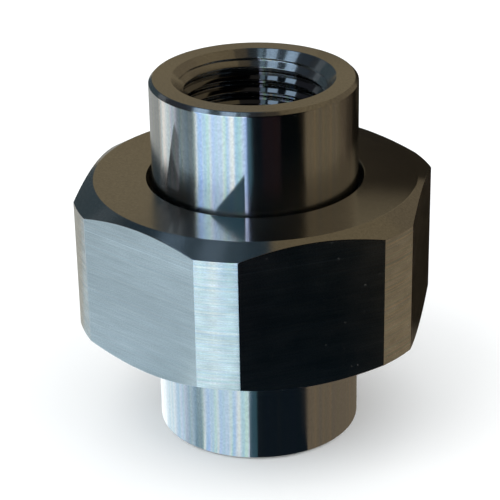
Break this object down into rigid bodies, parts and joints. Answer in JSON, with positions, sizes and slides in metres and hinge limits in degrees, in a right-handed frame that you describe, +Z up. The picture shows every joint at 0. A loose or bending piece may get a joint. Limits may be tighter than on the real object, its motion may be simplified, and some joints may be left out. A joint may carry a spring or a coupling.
{
  "type": "threaded pipe union",
  "caption": "Straight pipe union with internally threaded ends, a ball nose closing on a conical seat, and a hexagon nut that draws the two ends together.",
  "frame": {"origin": "on the axis, at the lower end's face that the union stands on", "axes": "+Z up along the pipe axis, towards the upper end; one rounded corner of the nut faces -Y"},
  "size_m": [0.0456, 0.0498, 0.051],
  "materials": {
    "turned_steel": "finely turned and polished",
    "milled_steel": "milled flats, turned faces"
  },
  "bodies": {
    "threaded_end": {"threaded_end": "turned_steel"},
    "tail_end": {"tail_end": "turned_steel"},
    "union_nut": {"union_nut": "milled_steel"}
  },
  "joints": [
    {"name": "tail_lift", "type": "slide", "parent": "threaded_end", "child": "tail_end", "axis": [0, 0, 1], "range_m": [0, 0.01]},
    {"name": "nut_turn", "type": "hinge", "parent": "tail_end", "child": "union_nut", "pos_m": [0, 0, 0], "axis": [0, 0, 1], "range_deg": [0, 1800]}
  ],
  "couplings": [
    {"joint": "tail_lift", "follows": "nut_turn", "m_per_rad": 0.0003183}
  ]
}
